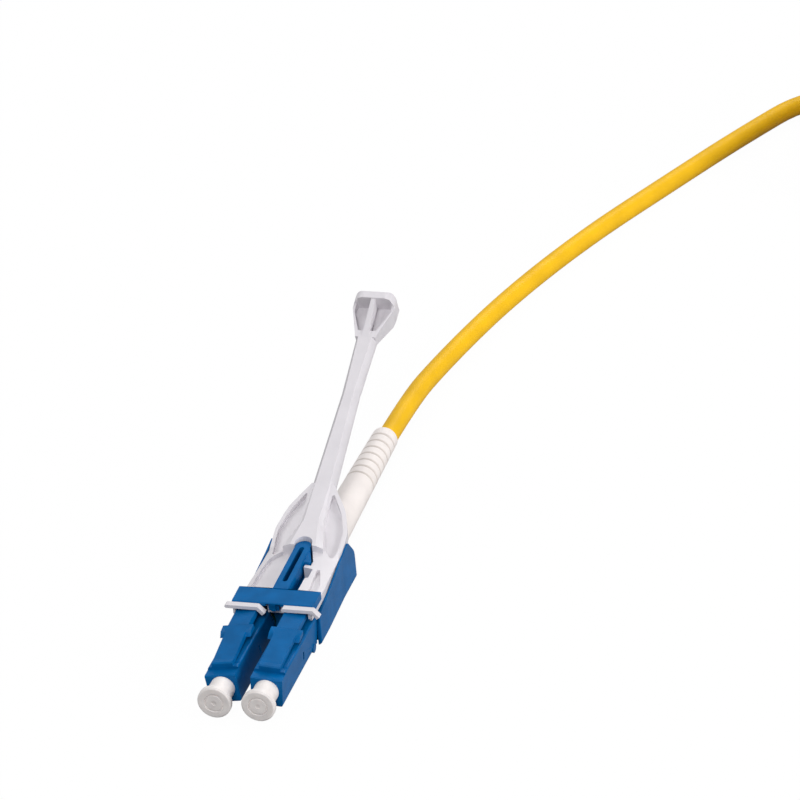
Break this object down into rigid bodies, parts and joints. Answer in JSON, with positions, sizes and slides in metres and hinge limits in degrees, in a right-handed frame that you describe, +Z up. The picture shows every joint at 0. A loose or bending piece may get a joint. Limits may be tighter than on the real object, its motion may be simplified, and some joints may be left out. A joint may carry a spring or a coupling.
{
  "type": "fibre optic connector",
  "caption": "Duplex fibre connector: two latched plugs under dust caps in one housing, with a long push-pull tab, a grooved boot and a coiled cord.",
  "frame": {"origin": "midway between the two ferrule axes, in the plane of the plugs' front faces", "axes": "+X across from the left to the right plug, +Y back along the cord, +Z up towards the latch arms"},
  "size_m": [0.0904, 0.1992, 0.0261],
  "materials": {
    "blue_plastic": "semi-gloss moulded blue",
    "white_plastic": "satin moulded cool white",
    "cap_plastic": "slightly translucent warm white",
    "boot_rubber": "matt warm white",
    "yellow_jacket": "satin yellow",
    "tie_plastic": "satin black",
    "ceramic": "polished white ceramic",
    "nickel": "nickel plated",
    "spring_steel": "drawn wire",
    "brass": "turned",
    "crimp_metal": "crimped",
    "buffer": "buffered fibre"
  },
  "bodies": {
    "housing": {"rear_housing": "blue_plastic", "bottom_cover": "blue_plastic", "plug_body_left": "blue_plastic", "plug_body_right": "blue_plastic", "rear_post_left": "brass", "rear_post_right": "brass", "ferrule_spring_left": "spring_steel", "ferrule_spring_right": "spring_steel", "fibre_left": "buffer", "fibre_right": "buffer", "crimp_body": "brass", "crimp_sleeve": "crimp_metal", "boot": "boot_rubber", "cable_run": "yellow_jacket", "cable_coil": "yellow_jacket", "cable_tie": "tie_plastic"},
    "tab": {"pull_tab": "white_plastic", "tab_clip": "blue_plastic"},
    "latch_left": {"latch_arm_left": "blue_plastic"},
    "latch_right": {"latch_arm_right": "blue_plastic"},
    "ferrule_left": {"ferrule_left": "ceramic", "ferrule_flange_left": "nickel"},
    "ferrule_right": {"ferrule_right": "ceramic", "ferrule_flange_right": "nickel"},
    "cap_left": {"dust_cap_left": "cap_plastic"},
    "cap_right": {"dust_cap_right": "cap_plastic"}
  },
  "joints": [
    {"name": "tab_pull", "type": "slide", "parent": "housing", "child": "tab", "axis": [0, 1, 0], "range_m": [0, 0.002], "stiffness_N_per_m": 600},
    {"name": "latch_left_press", "type": "hinge", "parent": "housing", "child": "latch_left", "pos_m": [-0.00348, 0.00275, 0.00253], "axis": [-0.9903, 0, -0.1392], "range_deg": [0, 3.5]},
    {"name": "latch_right_press", "type": "hinge", "parent": "housing", "child": "latch_right", "pos_m": [0.0033, 0.00275, 0.00254], "axis": [-0.9976, 0, 0.0698], "range_deg": [0, 3.5]},
    {"name": "ferrule_left_float", "type": "slide", "parent": "housing", "child": "ferrule_left", "axis": [0, 1, 0], "range_m": [0, 0.0005], "stiffness_N_per_m": 1500, "deforming": ["ferrule_spring_left"]},
    {"name": "ferrule_right_float", "type": "slide", "parent": "housing", "child": "ferrule_right", "axis": [0, 1, 0], "range_m": [0, 0.0005], "stiffness_N_per_m": 1500, "deforming": ["ferrule_spring_right"]},
    {"name": "cap_left_pull", "type": "slide", "parent": "housing", "child": "cap_left", "axis": [0, -1, 0], "range_m": [0, 0.012]},
    {"name": "cap_right_pull", "type": "slide", "parent": "housing", "child": "cap_right", "axis": [0, -1, 0], "range_m": [0, 0.012]}
  ],
  "couplings": [
    {"joint": "latch_left_press", "follows": "tab_pull", "rad_per_m": 29.6},
    {"joint": "latch_right_press", "follows": "tab_pull", "rad_per_m": 29.6}
  ]
}
